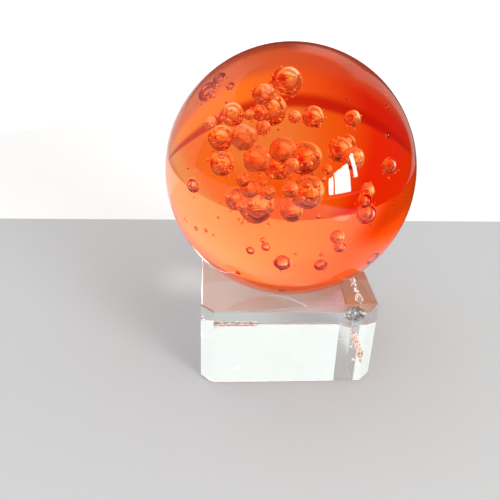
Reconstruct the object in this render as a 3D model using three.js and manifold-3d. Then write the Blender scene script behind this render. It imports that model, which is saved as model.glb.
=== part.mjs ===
// A solid ball of orange glass that rests in the ground hollow of a clear glass block.
// Units are millimetres and +Z is up. The origin is the middle of the block's underside.
// -Y is the front of the block and +X is to its right. The block is a square with its four
// upright corners cut to flat facets and a fine polished arris round its top and bottom edges.

import * as THREE from 'three';
import { mergeVertices } from 'three/addons/utils/BufferGeometryUtils.js';
import Module from 'manifold-3d';

// The ball
const BALL_DIAMETER = 70;
const BALL_SIDES = 64; // facets round the ball, and round the hollow that is cut to fit it
const BALL_BANDS = 32; // facets from pole to pole

// The block under it
const STAND_WIDTH = 50; // left to right, across the flats
const STAND_DEPTH = 50; // front to back, across the flats
const STAND_HEIGHT = 25;
const CORNER_CUT = 3.5; // how far each corner facet reaches along both sides it joins
const ARRIS = 0.5; // width and height of the fine bevel on the top and bottom edges

// How the ball sits
const SEAT_DEPTH = 4; // how far the ball's lowest point lies below the block's top face
const SEAT_CLEARANCE = 0.3; // gap between the ball and the hollow

const ballRadius = BALL_DIAMETER / 2;
const ballCentreHeight = STAND_HEIGHT - SEAT_DEPTH + ballRadius;

const orangeGlass = new THREE.MeshStandardMaterial({
  color: 0xf26a22,
  roughness: 0.02,
  metalness: 0,
  transparent: true,
  opacity: 0.75,
});

const clearGlass = new THREE.MeshStandardMaterial({
  color: 0xeef4f2,
  roughness: 0.03,
  metalness: 0,
  transparent: true,
  opacity: 0.35,
});

const wasm = await Module();
wasm.setup();

// A closed three.js geometry as a solid that can be cut.
function solidOf(geometry) {
  const bare = geometry.clone();
  bare.deleteAttribute('normal');
  bare.deleteAttribute('uv');
  const merged = mergeVertices(bare);
  return new wasm.Manifold(new wasm.Mesh({
    numProp: 3,
    vertProperties: Float32Array.from(merged.attributes.position.array),
    triVerts: Uint32Array.from(merged.index.array),
  }));
}

// A cut solid as a flat-shaded three.js geometry.
function geometryOf(solid) {
  const mesh = solid.getMesh();
  const geometry = new THREE.BufferGeometry();
  geometry.setAttribute('position', new THREE.BufferAttribute(mesh.vertProperties, mesh.numProp));
  geometry.setIndex(new THREE.BufferAttribute(mesh.triVerts, 1));
  const flat = geometry.toNonIndexed();
  flat.computeVertexNormals();
  return flat;
}

// A sphere whose poles lie on the Z axis.
function sphere(radius) {
  return new THREE.SphereGeometry(radius, BALL_SIDES, BALL_BANDS).rotateX(Math.PI / 2);
}

// The block's outline from above: a rectangle with its four corners cut off.
function blockOutline() {
  const x = STAND_WIDTH / 2;
  const y = STAND_DEPTH / 2;
  return new THREE.Shape([
    new THREE.Vector2(x - CORNER_CUT, -y),
    new THREE.Vector2(x, -y + CORNER_CUT),
    new THREE.Vector2(x, y - CORNER_CUT),
    new THREE.Vector2(x - CORNER_CUT, y),
    new THREE.Vector2(-x + CORNER_CUT, y),
    new THREE.Vector2(-x, y - CORNER_CUT),
    new THREE.Vector2(-x, -y + CORNER_CUT),
    new THREE.Vector2(-x + CORNER_CUT, -y),
  ]);
}

// The block raised from its outline. The bevel is turned inwards, so that the sides keep
// their full width between the two arrises.
function block() {
  const geometry = new THREE.ExtrudeGeometry(blockOutline(), {
    depth: STAND_HEIGHT - 2 * ARRIS,
    bevelEnabled: true,
    bevelThickness: ARRIS,
    bevelSize: ARRIS,
    bevelOffset: -ARRIS,
    bevelSegments: 1,
  });
  return geometry.translate(0, 0, ARRIS);
}

function makeBall() {
  const ball = new THREE.Mesh(sphere(ballRadius), orangeGlass);
  ball.name = 'ball';
  ball.position.z = ballCentreHeight;
  return ball;
}

// The block with the round hollow that the ball rests in, cut about the ball's own centre.
function makeStand() {
  const hollow = sphere(ballRadius + SEAT_CLEARANCE).translate(0, 0, ballCentreHeight);
  const stand = new THREE.Mesh(geometryOf(solidOf(block()).subtract(solidOf(hollow))), clearGlass);
  stand.name = 'stand';
  return stand;
}

const glassBallOnStand = new THREE.Group();
glassBallOnStand.add(makeStand(), makeBall());

export default glassBallOnStand;
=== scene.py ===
import math
import random

import bmesh
import bpy
from mathutils import Matrix, Vector, noise


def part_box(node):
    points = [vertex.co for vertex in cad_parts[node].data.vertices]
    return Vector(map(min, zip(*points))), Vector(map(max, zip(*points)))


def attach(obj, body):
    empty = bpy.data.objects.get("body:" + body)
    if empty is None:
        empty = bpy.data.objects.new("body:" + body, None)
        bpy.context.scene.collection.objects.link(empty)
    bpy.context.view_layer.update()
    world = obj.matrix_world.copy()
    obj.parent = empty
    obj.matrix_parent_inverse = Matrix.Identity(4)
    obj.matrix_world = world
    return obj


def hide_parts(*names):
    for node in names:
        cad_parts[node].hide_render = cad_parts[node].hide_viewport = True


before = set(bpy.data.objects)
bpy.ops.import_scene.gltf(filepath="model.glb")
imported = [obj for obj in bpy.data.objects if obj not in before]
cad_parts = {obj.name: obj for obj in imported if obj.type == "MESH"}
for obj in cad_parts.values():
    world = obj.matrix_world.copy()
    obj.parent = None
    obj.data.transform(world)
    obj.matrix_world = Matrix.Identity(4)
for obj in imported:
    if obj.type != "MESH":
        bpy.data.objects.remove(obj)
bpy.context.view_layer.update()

# A ball of orange glass, full of air bubbles, in the round hollow of a clear glass block.
# Lengths are in metres. -Y is the front, and Z = 0 is the underside of the block.

MM = 0.001

# Sizes from the frame
ball_low, ball_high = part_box("ball")
stand_low, stand_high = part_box("stand")
BALL_CENTRE = (ball_low + ball_high) / 2
BALL_RADIUS = (ball_high.z - ball_low.z) / 2
STAND_HALF = (stand_high.x - stand_low.x) / 2
STAND_TOP = stand_high.z

# Sizes of the block's details
CORNER_CUT = 3.5 * MM
ARRIS = 0.5 * MM
SEAT_CLEARANCE = 0.3 * MM

# The glass
GLASS_IOR = 1.5
ORANGE_TINT = (0.986, 0.50, 0.11)
ORANGE_DENSITY = 70.0
SMEAR_ROUGHNESS = 0.03  # where the polish is smeared
HAZY_ROUGHNESS = 0.36  # of a dull bubble's wall
GROUND_ROUGHNESS = 0.45  # of the ground bevels and the ground facet

# The camera: where the eye is, and how it is turned, in degrees
EYE = Vector((-23.7, -159.6, 117.6)) * MM
YAW = 4.82
PITCH = 28.57
ROLL = -2.45
LENS = 43.2  # millimetres
SENSOR = 36.0  # the sensor's width, in millimetres

# Bubbles, read one by one: (across, up, depth, radius) in millimetres, as the camera sees them.
# Across and up are on the ball's disc, and depth runs along the bent line of sight.
UPPER_BUBBLES = [
    (-0.6, 25.8, 24, 4.0),
    (-5.4, 17.6, 28, 4.5),
    (-16.3, 16.1, 22, 3.3),
    (-11.4, 16.0, 20, 1.4),
    (-22.4, 13.6, 20, 1.7),
    (-19.6, 9.5, 24, 3.5),
    (-19.0, 2.1, 22, 3.5),
    (-27.3, -4.1, 14, 2.0),
    (6.9, 15.4, 26, 3.0),
    (1.5, 15.4, 18, 1.7),
    (18.0, 15.0, 22, 2.3),
    (28.6, 1.6, 16, 2.2),
]
MIDDLE_BUBBLES = [
    (0.8, 1.7, 14, 1.9),
    (-3.2, 1.4, 22, 4.0),
    (4.5, 3.7, 30, 4.8),
    (14.5, 6.2, 28, 3.4),
    (18.2, 3.6, 20, 3.1),
    (16.6, 8.4, 40, 2.2),
    (10.8, 0.5, 22, 1.4),
    (9.6, -2.2, 18, 0.8),
    (5.9, 2.0, 13, 0.8),
    (-5.2, -1.6, 14, 0.7),
    (-7.3, -3.3, 18, 0.9),
    (5.0, -0.3, 25, 2.2),
]
# Bubbles with a dull wall, which look like patches of haze
HAZY_BUBBLES = [
    (-12.9, 9.7, 17, 3.5),
    (-7.4, 12.3, 18, 2.1),
    (-9.2, 3.2, 17, 3.8),
    (-1.8, 6.0, 20, 3.6),
    (-13.1, -2.5, 17, 1.9),
    (-7.4, 21.9, 20, 2.9),
    (-8.4, 16.6, 19, 2.2),
    (-11.2, -5.0, 18, 2.6),
]
LOWER_BUBBLES = [
    (-9.4, -9.7, 22, 5.2),
    (-14.9, -8.0, 25, 3.3),
    (-6.0, -6.1, 16, 1.9),
    (-13.6, -10.0, 14, 1.5),
    (-17.3, -7.4, 18, 1.0),
    (5.1, -6.0, 24, 4.8),
    (0.2, -5.2, 16, 2.2),
    (0.7, -11.3, 20, 3.2),
    (7.6, -3.9, 14, 0.9),
    (22.3, -5.5, 16, 2.0),
    (21.5, -8.4, 10, 2.0),
    (22.0, -12.1, 14, 2.8),
    (-11.1, -22.6, 8, 1.2),
    (-6.6, -21.5, 12, 1.3),
    (-7.5, -19.6, 14, 0.8),
    (-1.9, -26.1, 12, 2.4),
    (8.9, -26.7, 12, 1.9),
    (13.7, -18.7, 18, 2.0),
    (14.5, -21.6, 14, 1.7),
    (-14.6, -28.9, 6, 0.8),
]
RIM_BUBBLES = [
    (-20.0, 26.5, 8, 2.0),
    (-23.4, 22.8, 9, 2.9),
    (-16.8, 24.2, 10, 1.2),
    (27.9, 10.2, 8, 0.8),
    (27.9, 18.2, 8, 0.6),
    (23.8, -24.9, 10, 2.2),
    (-2.1, -34.0, 6, 0.9),
]
SPECKS = [
    (8.3, -12.9, 8, 0.6),
    (-20.2, -13.2, 6, 0.4),
    (-26.5, -16.3, 6, 0.7),
    (-23.7, -16.9, 6, 0.6),
    (-21.6, -18.2, 6, 0.35),
    (9.1, -23.8, 10, 0.6),
    (1.8, -23.6, 8, 0.4),
    (29.8, -9.5, 8, 0.4),
    (-17.9, 19.5, 8, 0.35),
    (-5.2, 25.3, 8, 0.4),
    (16.1, 20.4, 8, 0.4),
    (-15.5, 9.8, 9, 0.4),
    (-28.8, 0.9, 7, 0.35),
    (-29.7, -13.6, 2, 0.4),
    (-29.2, -14.4, 2, 0.3),
    (-30.2, -14.2, 2, 0.25),
    (-29.4, -12.9, 2, 0.22),
]
BUBBLE_GAP = 0.15 * MM  # glass left between two bubbles
BUBBLE_SKIN = 0.8 * MM  # glass left over a bubble
BUBBLE_STEP = 0.25 * MM  # how far a bubble is pushed back at a time, to clear the others
BUBBLE_LUMPS = 0.08  # how uneven a bubble is, as a share of its radius
HAZY_RIPPLE = 0.6  # how much finer unevenness a dull bubble has
SEED_HOST = 1.6 * MM  # bubbles from this radius on have fine seeds round them
SEEDS_PER_MM = 6  # of such a bubble's radius


class Wire:
    """An output socket of a node, on which sums can be written."""

    def __init__(self, finish, socket):
        self.finish = finish
        self.socket = socket

    def maths(self, operation, *others):
        sockets = dict(enumerate((self,) + others))
        return self.finish.node("ShaderNodeMath", {"operation": operation}, sockets)

    def __add__(self, other):
        return self.maths("ADD", other)

    __radd__ = __add__

    def __mul__(self, other):
        return self.maths("MULTIPLY", other)

    __rmul__ = __mul__

    def __sub__(self, other):
        return self.maths("SUBTRACT", other)

    def __rsub__(self, other):
        return (self * -1) + other

    def size(self):
        return self.maths("ABSOLUTE")

    def rise(self, start, end):
        """0 up to start and 1 from end on, with a smooth step between them."""
        sockets = {"Value": self, "From Min": start, "From Max": end}
        return self.finish.node("ShaderNodeMapRange", {"interpolation_type": "SMOOTHSTEP"}, sockets)


class Finish:
    """A material, whose nodes are added one by one."""

    def __init__(self, name):
        self.start(bpy.data.materials.new(name), "ShaderNodeOutputMaterial")

    def start(self, owner, output):
        self.owner = owner
        owner.use_nodes = True
        self.tree = owner.node_tree
        self.tree.nodes.clear()
        self.output = self.tree.nodes.new(output)

    def node(self, kind, settings=None, sockets=None, output=0):
        """Adds a node: its settings first, then the value or the wire of each socket."""
        made = self.tree.nodes.new(kind)
        for name, value in (settings or {}).items():
            setattr(made, name, value)
        for name, value in (sockets or {}).items():
            if isinstance(value, Wire):
                self.tree.links.new(value.socket, made.inputs[name])
            else:
                made.inputs[name].default_value = value
        return Wire(self, made.outputs[output])

    def place(self):
        return self.node("ShaderNodeTexCoord", output="Object")

    def axes(self, place):
        """The X, Y and Z of a place, each as its own wire."""
        apart = self.node("ShaderNodeSeparateXYZ", sockets={"Vector": place})
        return [Wire(self, socket) for socket in apart.socket.node.outputs]

    def stretched(self, place, scale, turn=(0.0, 0.0, 0.0)):
        return self.node("ShaderNodeMapping", sockets={"Vector": place, "Scale": scale, "Rotation": turn})

    def noise(self, place, scale, detail=3.0, warp=0.0):
        sockets = {"Vector": place, "Scale": scale, "Detail": detail, "Distortion": warp}
        return self.node("ShaderNodeTexNoise", sockets=sockets)

    def blend(self, share, first, second):
        """Goes from the first colour to the second."""
        sockets = {0: share, 6: first, 7: second}
        return self.node("ShaderNodeMix", {"data_type": "RGBA"}, sockets, output=2)

    def bump(self, height, depth, strength):
        sockets = {"Height": height, "Distance": depth, "Strength": strength}
        return self.node("ShaderNodeBump", sockets=sockets)

    def far(self, spot):
        """How far a place is from a spot."""
        sockets = {0: self.place(), 1: spot}
        return self.node("ShaderNodeVectorMath", {"operation": "DISTANCE"}, sockets, output="Value")

    def glow(self, colour):
        return self.node("ShaderNodeEmission", sockets={"Color": colour, "Strength": 1.0})

    def thin(self, cover, surface):
        """Lets a surface through only as far as it covers."""
        clear = self.node("ShaderNodeBsdfTransparent")
        return self.node("ShaderNodeMixShader", sockets={0: cover, 1: clear, 2: surface})

    def close(self, surface, volume=None):
        self.tree.links.new(surface.socket, self.output.inputs["Surface"])
        if volume:
            self.tree.links.new(volume.socket, self.output.inputs["Volume"])
        return self.owner


class Surround(Finish):
    """The world, whose nodes are added in the same way."""

    def __init__(self, name):
        self.start(bpy.data.worlds.new(name), "ShaderNodeOutputWorld")


def orange_glass():
    """Orange through its whole depth, with faint cords, a slow surface wave and a few smears."""
    finish = Finish("orange_glass")
    place = finish.place()
    cords = finish.noise(finish.stretched(place, (60.0, 60.0, 14.0), (0.5, 0.2, 0.0)), 1.0, 4.0, 0.6)
    wave = finish.noise(place, 28.0, 1.0)
    smears = finish.noise(finish.stretched(place, (90.0, 90.0, 40.0), (0.3, 0.9, 0.2)), 1.0, 6.0, 1.2)
    colour = finish.blend(cords.rise(0.35, 0.75), (1.0, 0.97, 0.94, 1.0), (1.0, 0.93, 0.86, 1.0))
    dull = finish.node("ShaderNodeAttribute", {"attribute_name": "dullness"}, output="Fac")
    surface = finish.node("ShaderNodeBsdfPrincipled", sockets={
        "Base Color": colour,
        "Roughness": smears.rise(0.55, 0.85) * SMEAR_ROUGHNESS + dull * HAZY_ROUGHNESS,
        "IOR": GLASS_IOR,
        "Transmission Weight": 1.0,
        "Normal": finish.bump(wave, 0.4 * MM, 0.12),
    })
    volume = finish.node("ShaderNodeVolumeAbsorption", sockets={
        "Color": (*ORANGE_TINT, 1.0),
        "Density": ORANGE_DENSITY,
    })
    return finish.close(surface, volume)


# The facet ground along the front top edge: a point on it, and the way it faces
FACET_START = Vector((-21.5, -25.0, 25.0)) * MM
FACET_NORMAL = Vector((0.0137, -0.1740, 0.9846))

# near-black colour for dark marks in the big chip and along the bottom back edge
DARK_MARK = (0.03, 0.03, 0.02, 1.0)  # nearly black
DARK_MARK_SPOT = (17.8 * MM, -25 * MM, 24 * MM)


def facet_height(finish, place):
    """How far a place is above the ground facet's plane."""
    sockets = {0: place, 1: FACET_NORMAL}
    dot = finish.node("ShaderNodeVectorMath", {"operation": "DOT_PRODUCT"}, sockets, output="Value")
    return dot - FACET_START.dot(FACET_NORMAL)


def ground_mask(finish, place):
    """1 on the bevels and on the ground facet, and 0 on the polished faces."""
    east, north, height = finish.axes(place)
    edge = 0.3 * ARRIS
    side = east.size().maths("MAXIMUM", north.size()).rise(STAND_HALF - ARRIS, STAND_HALF - edge)
    corner = (2 * STAND_HALF - CORNER_CUT) / math.sqrt(2)
    askew = (east.size() + north.size()) * math.sqrt(0.5)
    side = side.maths("MAXIMUM", askew.rise(corner - ARRIS, corner - edge))
    level = (height - STAND_TOP / 2).size().rise(STAND_TOP / 2 - ARRIS, STAND_TOP / 2 - edge)
    facet = 1 - facet_height(finish, place).size().rise(0.01 * MM, 0.03 * MM)
    return (side * level).maths("MAXIMUM", facet)


def dark_mark_mask(finish, place):
    """1 in streaks in the big chip, and nearly 1 along the left half of the bottom back edge: the places
    coloured near black.
    """
    east, north, height = finish.axes(place)
    streaks = finish.noise(finish.stretched(place, (2200.0, 2200.0, 800.0), (0.0, 0.7, 0.0)), 1.0, 3.0, 0.8)
    in_chip = 1 - finish.far(DARK_MARK_SPOT).rise(2.2 * MM, 3.4 * MM)
    back = 1 - (north - STAND_HALF).size().rise(0.5 * MM, 1.0 * MM)
    low = 1 - height.rise(0.4 * MM, 0.9 * MM)
    left = 1 - east.rise(-8 * MM, -5 * MM)
    return (in_chip * streaks.rise(0.46, 0.52)).maths("MAXIMUM", back * low * left * 0.8)


def clear_glass():
    """Polished clear glass, a little hazy, with ground bevels, and near-black marks in the big chip and
    along the bottom back edge.
    """
    finish = Finish("clear_glass")
    place = finish.place()
    haze = finish.noise(place, 120.0, 5.0, 0.8)
    scratches = finish.noise(finish.stretched(place, (40.0, 900.0, 900.0), (0.0, 0.0, 0.6)), 1.0, 2.0)
    colour = finish.blend(haze.rise(0.4, 0.8), (0.985, 0.995, 0.99, 1.0), (0.95, 0.965, 0.96, 1.0))
    ground = ground_mask(finish, place)
    surface = finish.node("ShaderNodeBsdfPrincipled", sockets={
        "Base Color": finish.blend(dark_mark_mask(finish, place), colour, DARK_MARK),
        "Roughness": haze.rise(0.55, 0.85) * SMEAR_ROUGHNESS + ground * GROUND_ROUGHNESS,
        "IOR": GLASS_IOR,
        "Transmission Weight": 1.0,
        "Normal": finish.bump(scratches, 0.05 * MM, 0.1),
    })
    return finish.close(surface)


def plain_paint(name, colour, glow=0.0):
    """A plain dull paint, which may glow a little."""
    finish = Finish(name)
    surface = finish.node("ShaderNodeBsdfPrincipled", sockets={
        "Base Color": (*colour, 1.0),
        "Roughness": 0.75,
        "Specular IOR Level": 0.2,
        "Emission Color": (*colour, 1.0),
        "Emission Strength": glow,
    })
    return finish.close(surface)


def new_piece(name, shape, material):
    """Makes the finished bmesh an object at the origin."""
    mesh = bpy.data.meshes.new(name)
    shape.to_mesh(mesh)
    shape.free()
    mesh.materials.append(material)
    piece = bpy.data.objects.new(name, mesh)
    bpy.context.scene.collection.objects.link(piece)
    return piece


def camera_axes():
    """The camera's right, up and forward directions."""
    yaw = math.radians(YAW)
    pitch = math.radians(PITCH)
    roll = math.radians(ROLL)
    forward = Vector((math.sin(yaw) * math.cos(pitch), math.cos(yaw) * math.cos(pitch), -math.sin(pitch)))
    level_right = Vector((math.cos(yaw), -math.sin(yaw), 0.0))
    level_up = level_right.cross(forward)
    right = level_right * math.cos(roll) - level_up * math.sin(roll)
    up = level_right * math.sin(roll) + level_up * math.cos(roll)
    return right, up, forward


def make_camera():
    right, up, forward = camera_axes()
    data = bpy.data.cameras.new("camera")
    data.lens = LENS
    data.sensor_width = SENSOR
    data.clip_start = 1 * MM
    data.clip_end = 10.0
    camera = bpy.data.objects.new("camera", data)
    turn = Matrix((right, up, -forward)).transposed()
    camera.matrix_world = Matrix.Translation(EYE) @ turn.to_4x4()
    bpy.context.scene.collection.objects.link(camera)
    bpy.context.scene.camera = camera


def sight_line(across, up):
    """Where the camera's line of sight enters the ball, and the way it goes on in the glass."""
    right_axis, up_axis, _ = camera_axes()
    aim = BALL_CENTRE + right_axis * across + up_axis * up
    way = (aim - EYE).normalized()
    to_ball = EYE - BALL_CENTRE
    half = to_ball.dot(way)
    reach = half * half - to_ball.length_squared + BALL_RADIUS * BALL_RADIUS
    entry = EYE + way * (-half - math.sqrt(max(reach, 0.0)))
    normal = (entry - BALL_CENTRE).normalized()
    cosine = -normal.dot(way)
    inner = math.sqrt(1 - (1 - cosine * cosine) / GLASS_IOR ** 2)
    return entry, way / GLASS_IOR + normal * (cosine / GLASS_IOR - inner)


def bubble_place(across, up, depth, seen, others):
    """Puts a bubble on its line of sight, as deep as it needs to be to clear the others."""
    entry, way = sight_line(across * MM, up * MM)
    chord = -2 * way.dot(entry - BALL_CENTRE)
    deep = depth * MM
    while deep < chord:
        centre = entry + way * deep
        radius = seen * MM * (1 - deep / (3 * BALL_RADIUS))
        room = BALL_RADIUS - BUBBLE_SKIN - (centre - BALL_CENTRE).length
        clear = all((centre - other).length > radius + wide + BUBBLE_GAP for other, wide, _ in others)
        if radius < room and clear:
            return centre, radius
        deep += BUBBLE_STEP
    return None


def add_shell(shape, centre, radius, steps, lumps=0.0, seed=0.0, ripple=0.0):
    """Adds a round shell, and gives back its points. Its lumps are slow dents, as a share of its radius."""
    place = Matrix.Translation(centre)
    points = bmesh.ops.create_icosphere(shape, subdivisions=steps, radius=radius, matrix=place)["verts"]
    if lumps:
        for point in points:
            way = (point.co - centre).normalized()
            offset = Vector((seed, 0.0, 0.0))
            dent = noise.noise(way * 1.2 + offset) - 0.5 + ripple * noise.noise(way * 4.0 + offset)
            point.co = centre + way * radius * (1 + lumps * dent)
    return points


def is_clear(spot, small, places):
    """Whether a bubble has glass all round it."""
    room = BALL_RADIUS - BUBBLE_SKIN - (spot - BALL_CENTRE).length
    apart = small + BUBBLE_GAP
    return small < room and all((spot - other).length > apart + wide for other, wide, _ in places)


def shell_steps(radius):
    """How finely a bubble is divided."""
    return 2 + sum(radius > limit for limit in (0.4 * MM, 0.9 * MM, 3.0 * MM))


def random_way(chance):
    return Vector([chance.gauss(0.0, 1.0) for _ in range(3)]).normalized()


def add_seeds(places, chance):
    """Fine seeds that cling to the bigger bubbles, in front of them and behind them."""
    _, up_way, forward = camera_axes()
    for centre, radius, _ in list(places):
        if radius < SEED_HOST:
            continue
        for _ in range(int(radius / MM * SEEDS_PER_MM)):
            small = chance.uniform(0.12, 0.36) * MM
            way = random_way(chance) * 0.9 + forward * chance.choice((-1, 1)) - up_way * 0.25
            way.normalize()
            spot = centre + way * (radius + small + chance.uniform(0.2, 0.9) * MM)
            if is_clear(spot, small, places):
                places.append((spot, small, 0.0))


def all_bubbles():
    """Every bubble's centre, radius and dullness, from the smallest on."""
    places = []
    clear = SPECKS + UPPER_BUBBLES + LOWER_BUBBLES + MIDDLE_BUBBLES + RIM_BUBBLES
    for bubbles, dull in ((HAZY_BUBBLES, 1.0), (clear, 0.0)):
        for across, up, depth, seen in bubbles:
            place = bubble_place(across, up, depth, seen, places)
            if place:
                places.append((*place, dull))
    add_seeds(places, random.Random(7))
    return sorted(places, key=lambda place: place[1])


def make_ball():
    """The ball and its bubbles in one mesh: each bubble is a hole, so its faces point into it."""
    shape = bmesh.new()
    dullness = shape.verts.layers.float.new("dullness")
    for number, (centre, radius, dull) in enumerate(all_bubbles()):
        seed = number * 1.7
        steps = shell_steps(radius)
        for point in add_shell(shape, centre, radius, steps, BUBBLE_LUMPS, seed, dull * HAZY_RIPPLE):
            point[dullness] = dull
    bmesh.ops.reverse_faces(shape, faces=shape.faces)
    add_shell(shape, BALL_CENTRE, BALL_RADIUS, 6)
    for face in shape.faces:
        face.smooth = True
    ball = new_piece("glass_ball", shape, orange_glass())
    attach(ball, "root")
    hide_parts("ball")


HOLLOW_RINGS = 24
HOLLOW_SIDES = 128


def raise_block(shape):
    """The block, raised from its cut-cornered outline, with fine bevels round its top and underside."""
    half = STAND_HALF
    near = half - CORNER_CUT
    outline = [(near, -half), (half, -near), (half, near), (near, half),
               (-near, half), (-half, near), (-half, -near), (-near, -half)]
    points = [shape.verts.new((x, y, 0.0)) for x, y in outline]
    under = shape.faces.new(points)
    raised = bmesh.ops.extrude_face_region(shape, geom=[under])
    top = [part for part in raised["geom"] if isinstance(part, bmesh.types.BMVert)]
    bmesh.ops.translate(shape, verts=top, vec=(0.0, 0.0, STAND_TOP))
    bmesh.ops.recalc_face_normals(shape, faces=shape.faces)
    level = [edge for edge in shape.edges if abs(edge.verts[0].co.z - edge.verts[1].co.z) < ARRIS / 10]
    bmesh.ops.bevel(shape, geom=level, offset=ARRIS, offset_type="WIDTH", segments=1, profile=0.5,
                    affect="EDGES", material=-1)


def hollow_bowl(shape, radius):
    """The round hollow, spun from its arc, with its rim on the top face."""
    end = math.acos((BALL_CENTRE.z - STAND_TOP) / radius)
    arc = []
    for step in range(HOLLOW_RINGS + 1):
        angle = end * step / HOLLOW_RINGS
        level = BALL_CENTRE.z - radius * math.cos(angle)
        arc.append(shape.verts.new((radius * math.sin(angle), 0.0, level)))
    edges = [shape.edges.new(pair) for pair in zip(arc, arc[1:])]
    bmesh.ops.spin(shape, geom=arc + edges, cent=(0, 0, 0), axis=(0, 0, 1), angle=2 * math.pi,
                   steps=HOLLOW_SIDES, use_merge=True)


def grind_facet(shape):
    """Grinds the shallow facet that widens along the front top edge to the right."""
    everything = list(shape.verts) + list(shape.edges) + list(shape.faces)
    bmesh.ops.bisect_plane(shape, geom=everything, plane_co=FACET_START, plane_no=FACET_NORMAL,
                           dist=0.001 * MM, clear_outer=True)
    open_edges = [edge for edge in shape.edges if edge.is_boundary]
    bmesh.ops.holes_fill(shape, edges=open_edges)


GENTLE_BEND = math.radians(20)  # where two faces meet at less, they are shaded as one

# Chips, as (x, y, z) and the half sizes of each, in millimetres
BIG_CHIPS = [
    ((17.3, -25.5, 25.1), (2.7, 1.9, 3.3)),
    ((19.6, -25.5, 24.6), (1.3, 1.2, 1.6)),
    ((18.9, -25.25, 7.8), (0.75, 0.45, 0.8)),
    ((17.6, -25.2, 12.6), (0.5, 0.3, 0.5)),
]


def chip_places():
    """The big chips, and rows of fine ones on the bottom edges at the back and at the right."""
    chance = random.Random(21)
    chips = list(BIG_CHIPS)
    for _ in range(22):
        size = chance.uniform(0.4, 0.85)
        chips.append(((chance.uniform(-21.5, -6.0), 25.0, 0.1), (size * 1.5, size, size)))
    for _ in range(16):
        size = chance.uniform(0.5, 1.15)
        chips.append(((25.0, chance.uniform(-13.0, 16.0), 0.1), (size, size * 1.6, size)))
    return chips


def make_cutter(material):
    """Rippled lumps, in one mesh, that knock the chips out of the block."""
    shape = bmesh.new()
    for number, (centre, half) in enumerate(chip_places()):
        steps = 4 if max(half) > 1.0 else 2
        for point in bmesh.ops.create_icosphere(shape, subdivisions=steps, radius=1.0)["verts"]:
            way = point.co.normalized()
            offset = Vector((number * 3.1, 0.0, 0.0))
            lump = noise.noise(way * 1.6 + offset) * 0.35 + noise.noise(way * 6.0 + offset) * 0.07
            point.co = [(centre[axis] + half[axis] * way[axis] * (1 + lump)) * MM for axis in range(3)]
    return new_piece("chip_cutter", shape, material)


def knock_chips(stand):
    """Cuts the chips, keeps the result in the mesh, and shades only its gentle bends smoothly."""
    cutter = make_cutter(stand.data.materials[0])
    cut = stand.modifiers.new("chips", "BOOLEAN")
    cut.object = cutter
    cut.operation = "DIFFERENCE"
    cut.solver = "EXACT"
    cut.use_self = True
    bpy.context.view_layer.update()
    shape = bmesh.new()
    shape.from_object(stand, bpy.context.evaluated_depsgraph_get())
    stand.modifiers.clear()
    bpy.data.objects.remove(cutter)
    bmesh.ops.remove_doubles(shape, verts=shape.verts, dist=0.001 * MM)
    for edge in shape.edges:
        edge.smooth = len(edge.link_faces) == 2 and edge.calc_face_angle() < GENTLE_BEND
    for face in shape.faces:
        face.smooth = True
    shape.to_mesh(stand.data)
    shape.free()


def make_stand():
    """The cut-cornered block with its hollow, its ground facet and its chips."""
    shape = bmesh.new()
    raise_block(shape)
    top = max(shape.faces, key=lambda face: face.calc_center_median().z)
    bmesh.ops.delete(shape, geom=[top], context="FACES_ONLY")
    hollow_bowl(shape, BALL_RADIUS + SEAT_CLEARANCE)
    bmesh.ops.remove_doubles(shape, verts=shape.verts, dist=0.01 * MM)
    rims = [edge for edge in shape.edges if edge.is_boundary]
    bmesh.ops.triangle_fill(shape, edges=rims, use_beauty=True, use_dissolve=False, normal=(0, 0, 1))
    bmesh.ops.recalc_face_normals(shape, faces=shape.faces)
    grind_facet(shape)
    stand = new_piece("glass_stand", shape, clear_glass())
    knock_chips(stand)
    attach(stand, "root")
    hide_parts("stand")


# The stage, which isn't part of the object
FLOOR_HALF = 2500 * MM
FLOOR_BACK = 84 * MM  # where the grey floor ends and the white paper begins
FLOOR_DROP = 0.1 * MM  # the floor is this far under the block, so that the two never touch
PAPER_BEND = 250 * MM  # where the sheets behind the object start to curve up
PAPER_CURVE = 70 * MM
PAPER_TOP = 420 * MM
CURVE_STEPS = 12
SWEEP_TURN = 170  # how far they reach round the object, in degrees
SWEEP_STEPS = 48
FADE_FRONT = 50 * MM  # beside the object they thin out, from FADE_BACK to FADE_FRONT
FADE_BACK = 140 * MM
FADE_IN = 290 * MM  # and from FADE_IN to FADE_OUT to the side
FADE_OUT = 420 * MM
CARD_FRONT = 44 * MM  # where the level card behind the ball begins
CARD_HALF = 500 * MM
CARD_LIFT = 0.3 * MM  # the cards lie this far over the block's underside
FRONT_CARD_LIFT = 0.2 * MM
MIRROR_FRONT = -900 * MM  # where the mirrored card begins

# The kinds of ray that a card is hidden from, to show only through glass or only in reflections
ONLY_THROUGH_GLASS = ("camera", "diffuse", "glossy", "shadow")
ONLY_REFLECTED = ("camera", "diffuse", "transmission", "shadow")


def stage_piece(name, shape, material):
    piece = new_piece(name, shape, material)
    return piece


def hide_from(thing, rays):
    for ray in rays:
        setattr(thing, "visible_" + ray, False)


def flat_sheet(name, low, high, half, height, material):
    """A level sheet from the low to the high Y."""
    shape = bmesh.new()
    size = Matrix.Diagonal((half, (high - low) / 2, 1.0, 1.0))
    place = Matrix.Translation((0, (low + high) / 2, height)) @ size
    bmesh.ops.create_grid(shape, x_segments=1, y_segments=1, size=1.0, matrix=place)
    return stage_piece(name, shape, material)


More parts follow.
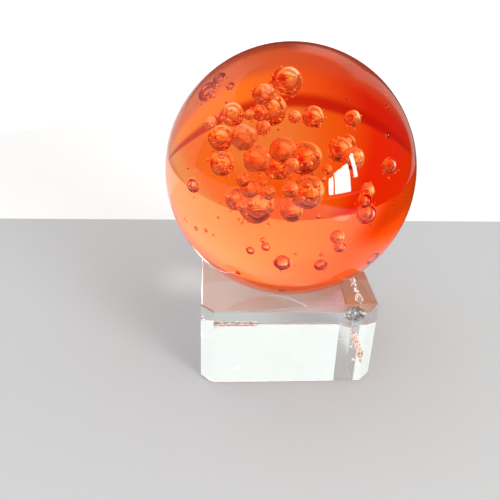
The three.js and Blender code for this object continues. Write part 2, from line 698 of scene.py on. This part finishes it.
def curved_sheet(name, inset, material):
    """A sheet that curves up behind the object. The inset brings it nearer."""
    shape = bmesh.new()
    start = PAPER_BEND - inset
    profile = [shape.verts.new((0.0, start, 0.0))]
    for step in range(1, CURVE_STEPS + 1):
        angle = math.radians(90) * step / CURVE_STEPS
        out = start + PAPER_CURVE * math.sin(angle)
        profile.append(shape.verts.new((0.0, out, PAPER_CURVE * (1 - math.cos(angle)))))
    profile.append(shape.verts.new((0.0, start + PAPER_CURVE, PAPER_TOP)))
    edges = [shape.edges.new(pair) for pair in zip(profile, profile[1:])]
    first = Matrix.Rotation(math.radians(-SWEEP_TURN / 2), 3, "Z")
    bmesh.ops.rotate(shape, verts=profile, cent=(0, 0, 0), matrix=first)
    bmesh.ops.spin(shape, geom=profile + edges, cent=(0, 0, 0), axis=(0, 0, 1),
                   angle=math.radians(SWEEP_TURN), steps=SWEEP_STEPS)
    for face in shape.faces:
        face.smooth = True
    return stage_piece(name, shape, material)


def behind(finish):
    """1 behind the object and 0 beside it, so that no sheet has a hard end there."""
    east, north, _ = finish.axes(finish.place())
    return north.rise(FADE_FRONT, FADE_BACK) * (1 - east.size().rise(FADE_IN, FADE_OUT))


def sweep_paint():
    """Evenly bright white."""
    finish = Finish("sweep_paint")
    return finish.close(finish.thin(behind(finish), finish.glow((1.3, 1.3, 1.3, 1.0))))


def make_floor():
    """A plain pale floor, with white paper laid on from its back edge and curved up behind."""
    flat_sheet("floor", -FLOOR_HALF, FLOOR_BACK, FLOOR_HALF, -FLOOR_DROP,
               plain_paint("floor_paint", (0.555, 0.565, 0.56)))
    flat_sheet("paper", FLOOR_BACK, FLOOR_HALF, FLOOR_HALF, -FLOOR_DROP,
               plain_paint("paper_paint", (0.9, 0.89, 0.87), 0.1))
    sweep = curved_sheet("sweep", 0.0, sweep_paint())
    hide_from(sweep, ("diffuse", "glossy", "transmission", "shadow"))


def level_card_painted_light():
    """Painted light and shade behind the ball, which only the glass shows: pale near the ball, then warm,
    with a painted shadow line across: redder at the left, paler at the right.
    """
    finish = Finish("level_card_painted_light")
    east, north, _ = finish.axes(finish.place())
    # the red at the left paints the ball's own orange light, cast behind it to the left
    near = finish.blend(east.rise(-12 * MM, 36 * MM), (0.78, 0.09, 0.0, 1.0), (1.35, 1.85, 0.75, 1.0))
    far = finish.blend(east.rise(-16 * MM, 10 * MM), (0.92, 0.15, 0.0, 1.0), (1.0, 1.05, 0.12, 1.0))
    hazy = finish.blend(east.rise(5 * MM, 22 * MM), far, (1.0, 2.25, 2.3, 1.0))
    hazy = finish.blend(east.rise(30 * MM, 55 * MM), hazy, (1.06, 1.38, 0.8, 1.0))
    plain = finish.blend(east.rise(10 * MM, 70 * MM), far, (1.10, 1.5, 0.56, 1.0))
    far = finish.blend(north.rise(135 * MM, 158 * MM), hazy, plain)
    warm = finish.blend(north.rise(98 * MM, 108 * MM), near, far)
    warm = finish.blend(east.rise(70 * MM, 120 * MM), warm, (1.0, 2.2, 2.1, 1.0))
    warm = finish.blend(east.rise(135 * MM, 190 * MM), warm, (0.85, 1.3, 1.1, 1.0))
    # a painted shadow line across the card
    line = north.rise(92 * MM, 99 * MM) * (1 - north.rise(102 * MM, 106 * MM))
    warm = finish.blend(line * 0.86, warm, (0.6, 0.04, 0.0, 1.0))
    pale = finish.blend(east.rise(-20 * MM, 45 * MM), (0.80, 0.40, 0.35, 1.0), (0.90, 1.2, 1.5, 1.0))
    colour = finish.blend(north.rise(70 * MM, 84 * MM), pale, warm)
    cover = north.rise(CARD_FRONT, CARD_FRONT + 10 * MM) * (1 - east.size().rise(FADE_IN, FADE_OUT))
    return finish.close(finish.thin(cover, finish.glow(colour)))


def upright_card_painted_light():
    """Painted light and shade behind the ball, which only the glass shows: orange at the left, where the
    ball's own shadow and orange light are painted, bright at the right, and plain white high up.
    """
    finish = Finish("upright_card_painted_light")
    east, _, height = finish.axes(finish.place())
    # orange at the left paints the ball's own shadow and orange light; the bright right paints lit wall
    low = finish.blend(east.rise(-110 * MM, 60 * MM), (0.92, 0.36, 0.02, 1.0), (3.2, 3.0, 3.6, 1.0))
    low = finish.blend(east.rise(60 * MM, 130 * MM), low, (3.3, 3.35, 5.2, 1.0))
    right = finish.blend(height.rise(100 * MM, 170 * MM), (3.3, 3.6, 5.4, 1.0), (3.2, 2.6, 3.5, 1.0))
    middle = finish.blend(east.rise(-90 * MM, 170 * MM), (2.1, 1.0, 0.15, 1.0), right)
    colour = finish.blend(height.rise(25 * MM, 95 * MM), low, middle)
    colour = finish.blend(height.rise(184 * MM, 204 * MM), colour, (0.97, 1.03, 1.0, 1.0))
    return finish.close(finish.thin(behind(finish), finish.glow(colour)))


def mirror_card_painted_reflection():
    """Painted reflections, which only the glass shows: dim and brown at the right, with a bright pale
    painted highlight in front and one beside the block.
    """
    finish = Finish("mirror_card_painted_reflection")
    east, north, _ = finish.axes(finish.place())
    # painted highlights: a bright pale spot in front and one beside the block
    front_highlight = finish.far((112 * MM, -154 * MM, 0.3 * MM))
    side_highlight = finish.far((-31 * MM, 33 * MM, 0.3 * MM)) + 16 * MM
    highlight_spot = front_highlight.maths("MINIMUM", side_highlight)
    colour = finish.blend(highlight_spot.rise(12 * MM, 34 * MM), (4.2, 4.0, 3.8, 1.0), (0.16, 0.06, 0.01, 1.0))
    near = east.rise(50 * MM, 90 * MM) * north.rise(-90 * MM, -50 * MM)
    aside = (east - north * 1.19).rise(0.0, 150 * MM)
    brown = near.maths("MAXIMUM", east.rise(150 * MM, 210 * MM) * aside)
    cover = brown.maths("MAXIMUM", 1 - highlight_spot.rise(24 * MM, 34 * MM))
    return finish.close(finish.thin(cover, finish.glow(colour)))


def left_mirror_painted_reflection():
    """Painted reflections, which only the glass shows: pale at the left, at the right and high up between
    them, with one small painted highlight low down.
    """
    finish = Finish("left_mirror_painted_reflection")
    east, _, height = finish.axes(finish.place())
    # a small painted highlight, low down, for a bright glint on the block's right arris
    painted_glint = 1 - finish.far((155 * MM, 275 * MM, 14 * MM)).rise(12 * MM, 22 * MM)
    colour = finish.blend(east.rise(0.0, 60 * MM), (0.55, 0.52, 0.5, 1.0), (0.85, 0.55, 0.42, 1.0))
    colour = finish.blend(east.rise(120 * MM, 180 * MM), colour, (0.26, 0.52, 0.46, 1.0))
    colour = finish.blend(painted_glint, colour, (3.2, 3.1, 3.0, 1.0))
    left = 1 - east.rise(-230 * MM, -40 * MM)
    right = east.rise(166 * MM, 188 * MM) * (1 - height.rise(220 * MM, 300 * MM))
    high = east.rise(20 * MM, 80 * MM) * height.rise(150 * MM, 200 * MM)
    high = high * (1 - height.rise(280 * MM, 360 * MM))
    right = right.maths("MAXIMUM", high) * (1 - east.rise(232 * MM, 255 * MM))
    cover = left.maths("MAXIMUM", painted_glint).maths("MAXIMUM", right)
    return finish.close(finish.thin(cover, finish.glow(colour)))


def under_card_painted_shade():
    """Painted light and shade of the floor under the block, which only the glass shows: pinkish beige where
    the ball's orange light is painted, browner to the right, grey behind it and a painted dark shade at the
    front.
    """
    finish = Finish("under_card_painted_shade")
    east, north, _ = finish.axes(finish.place())
    colour = finish.blend(east.rise(-20 * MM, 4 * MM), (0.69, 0.49, 0.43, 1.0), (0.49, 0.31, 0.25, 1.0))
    colour = finish.blend(east.rise(4 * MM, 20 * MM), colour, (0.46, 0.16, 0.09, 1.0))
    colour = finish.blend(north.rise(23 * MM, 27 * MM), colour, (0.60, 0.62, 0.60, 1.0))
    # painted dark shade at the front, under the block
    colour = finish.blend(north.rise(-15 * MM, -9 * MM), (0.12, 0.03, 0.02, 1.0), colour)
    cover = 0.9 - north.rise(23 * MM, 27 * MM) * east.rise(-10 * MM, 10 * MM) * 0.9
    return finish.close(finish.thin(cover, finish.glow(colour)))


def front_card_painted_shade():
    """Painted dim red shade in front of the block, which only the glass shows, for the dark undersides of
    the bubbles.
    """
    finish = Finish("front_card_painted_shade")
    _, north, _ = finish.axes(finish.place())
    cover = 1 - north.rise(-60 * MM, -30 * MM)
    return finish.close(finish.thin(cover, finish.glow((0.45, 0.12, 0.04, 1.0))))


def make_cards():
    """Glowing cards round the object, painted with light, shade and reflections, that only its glass shows:
    some through it, some in reflections.
    """
    seen_through = [
        flat_sheet("level_card", CARD_FRONT, PAPER_BEND, CARD_HALF, CARD_LIFT, level_card_painted_light()),
        curved_sheet("upright_card", 2 * MM, upright_card_painted_light()),
        flat_sheet("front_card", -220 * MM, -26 * MM, CARD_HALF, FRONT_CARD_LIFT, front_card_painted_shade()),
        flat_sheet("under_card", -STAND_HALF, 43 * MM, STAND_HALF, -FLOOR_DROP / 2, under_card_painted_shade()),
    ]
    reflected = [
        flat_sheet("mirror_card", MIRROR_FRONT, FLOOR_HALF, FLOOR_HALF, CARD_LIFT, mirror_card_painted_reflection()),
        curved_sheet("left_mirror", 4 * MM, left_mirror_painted_reflection()),
    ]
    for card in seen_through:
        hide_from(card, ONLY_THROUGH_GLASS)
    for card in reflected:
        hide_from(card, ONLY_REFLECTED)


# The soft lights' faces, as two corners each: (low Y, low Z), (high Y, high Z), in metres
SOFTBOXES = [
    ((-0.940, 0.065), (-0.790, 0.300)),
    ((-0.750, 0.065), (-0.455, 0.320)),
    ((-0.400, 0.160), (-0.352, 0.360)),
]
SOFTBOX_EAST = 450 * MM
SOFTBOX_GLOW = 24.0  # brightness of a soft light's face


def make_lights():
    """Upright soft lights that face -X."""
    for number, (low, high) in enumerate(SOFTBOXES, 1):
        name = f"softbox_{number}"
        data = bpy.data.lights.new(name, "AREA")
        data.shape = "RECTANGLE"
        data.size = high[1] - low[1]
        data.size_y = high[0] - low[0]
        data.energy = SOFTBOX_GLOW * math.pi * ((high[0] - low[0]) * (high[1] - low[1]))
        light = bpy.data.objects.new(name, data)
        middle = Vector((SOFTBOX_EAST, (low[0] + high[0]) / 2, (low[1] + high[1]) / 2))
        light.matrix_world = Matrix.Translation(middle) @ Matrix.Rotation(math.radians(90), 4, "Y")
        bpy.context.scene.collection.objects.link(light)


DOME_LIT = 1.0  # the dome's brightness as it lights the floor
DOME_SEEN = 0.62  # as it is seen, also through the glass
DOME_MIRRORED = 0.05  # and in reflections


def make_dome():
    """A soft dome all round, as the world."""
    dome = Surround("dome")
    paths = dome.node("ShaderNodeLightPath").socket.node.outputs
    seen = Wire(dome, paths["Is Camera Ray"]).maths("MAXIMUM", Wire(dome, paths["Is Transmission Ray"]))
    lit = Wire(dome, paths["Diffuse Depth"]).maths("GREATER_THAN", 0.5)
    strength = (seen * (DOME_SEEN - DOME_MIRRORED) + DOME_MIRRORED).maths("MAXIMUM", lit * DOME_LIT)
    sockets = {"Color": (0.98, 0.99, 1.0, 1.0), "Strength": strength}
    world = dome.close(dome.node("ShaderNodeBackground", sockets=sockets))
    world.cycles.sampling_method = "NONE"
    bpy.context.scene.world = world


def set_light_paths():
    """Enough bounces for light to cross the ball and its bubbles, and plain colours."""
    scene = bpy.context.scene
    scene.view_settings.view_transform = "Standard"
    scene.cycles.max_bounces = 32
    scene.cycles.transmission_bounces = 32
    scene.cycles.glossy_bounces = 24
    scene.cycles.diffuse_bounces = 4
    scene.cycles.caustics_reflective = True
    scene.cycles.caustics_refractive = True
    scene.cycles.sample_clamp_indirect = 20.0
    scene.cycles.use_denoising = True


make_camera()
make_ball()
make_stand()
make_floor()
make_cards()
make_lights()
make_dome()
set_light_paths()
